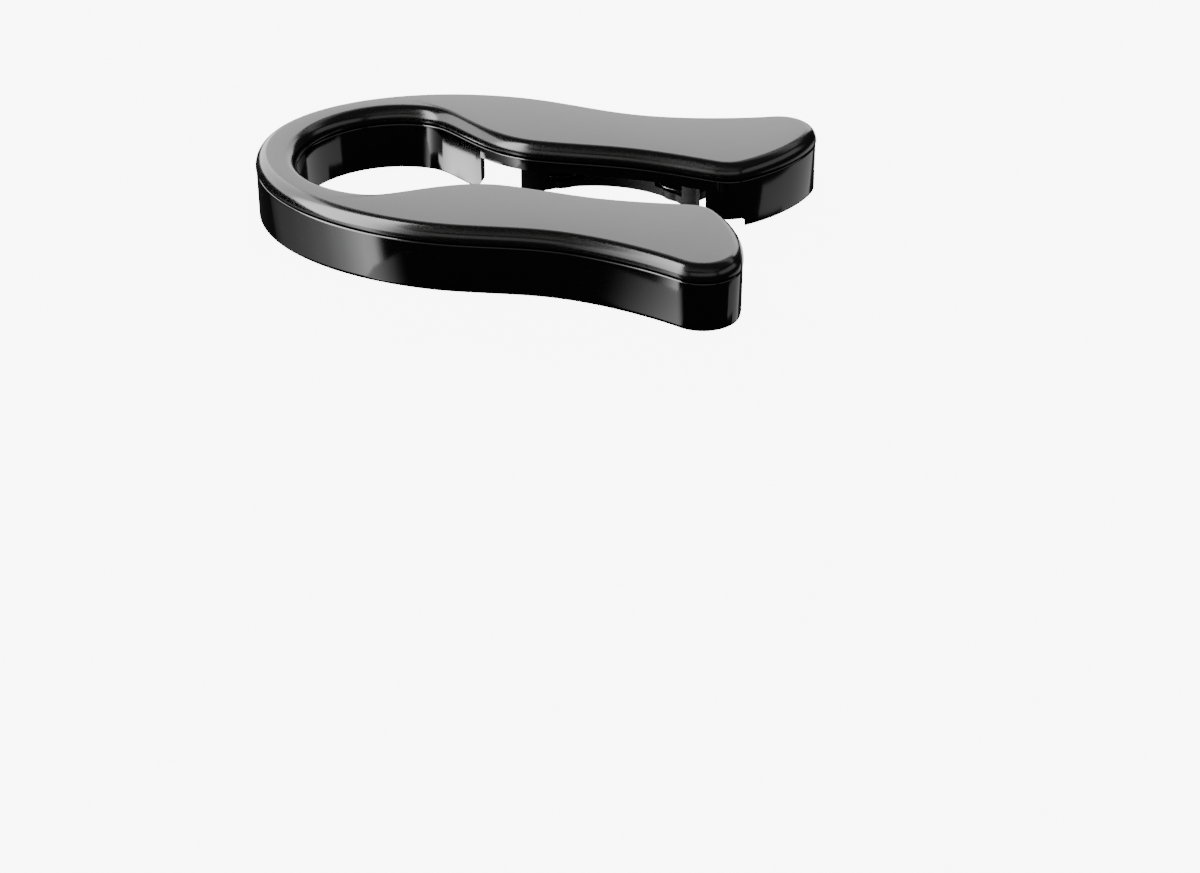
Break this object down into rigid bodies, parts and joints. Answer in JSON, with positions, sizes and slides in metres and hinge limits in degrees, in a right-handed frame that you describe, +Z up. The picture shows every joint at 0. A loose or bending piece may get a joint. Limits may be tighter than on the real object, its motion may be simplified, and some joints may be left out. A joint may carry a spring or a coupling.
{
  "type": "foil cutter",
  "caption": "Flat horseshoe-shaped hand tool: squeezing its two springy arms presses small sharp wheels into the foil around a bottle's neck.",
  "frame": {"origin": "middle of the footprint, on the surface that the cutter lies on", "axes": "+X to the open tips of the arms, +Y to the left arm, +Z up to the cover"},
  "size_m": [0.0776, 0.0554, 0.01],
  "materials": {
    "cover": "satin",
    "housing": "polished",
    "carrier": "moulded",
    "wheel_steel": "ground",
    "pin_steel": "drawn",
    "screw_steel": "zinc plated"
  },
  "bodies": {
    "left_arm": {"top_cover_left": "cover", "housing_left": "housing", "wheel_carrier_left": "carrier", "wheel_pin_left_loop": "pin_steel", "carrier_screw_left_loop": "screw_steel", "cover_screw_left_loop": "screw_steel", "wheel_pin_left_tip": "pin_steel", "carrier_screw_left_tip": "screw_steel", "cover_screw_left_tip": "screw_steel"},
    "left_loop_wheel": {"cutter_wheel_left_loop": "wheel_steel"},
    "left_tip_wheel": {"cutter_wheel_left_tip": "wheel_steel"},
    "right_arm": {"top_cover_right": "cover", "housing_right": "housing", "wheel_carrier_right": "carrier", "wheel_pin_right_loop": "pin_steel", "carrier_screw_right_loop": "screw_steel", "cover_screw_right_loop": "screw_steel", "wheel_pin_right_tip": "pin_steel", "carrier_screw_right_tip": "screw_steel", "cover_screw_right_tip": "screw_steel"},
    "right_loop_wheel": {"cutter_wheel_right_loop": "wheel_steel"},
    "right_tip_wheel": {"cutter_wheel_right_tip": "wheel_steel"}
  },
  "joints": [
    {"name": "arm_squeeze", "type": "hinge", "parent": "left_arm", "child": "right_arm", "pos_m": [-0.03575, 0, 0.005], "axis": [0, 0, 1], "range_deg": [-3, 8], "stiffness_Nm_per_rad": 4.5},
    {"name": "left_loop_wheel_spin", "type": "hinge", "parent": "left_arm", "child": "left_loop_wheel", "pos_m": [0.0014, 0.01663, 0.0025], "axis": [0, 0, 1], "continuous": true},
    {"name": "left_tip_wheel_spin", "type": "hinge", "parent": "left_arm", "child": "left_tip_wheel", "pos_m": [0.0206, 0.01663, 0.0025], "axis": [0, 0, 1], "continuous": true},
    {"name": "right_loop_wheel_spin", "type": "hinge", "parent": "right_arm", "child": "right_loop_wheel", "pos_m": [0.0014, -0.01663, 0.0025], "axis": [0, 0, 1], "continuous": true},
    {"name": "right_tip_wheel_spin", "type": "hinge", "parent": "right_arm", "child": "right_tip_wheel", "pos_m": [0.0206, -0.01663, 0.0025], "axis": [0, 0, 1], "continuous": true}
  ]
}
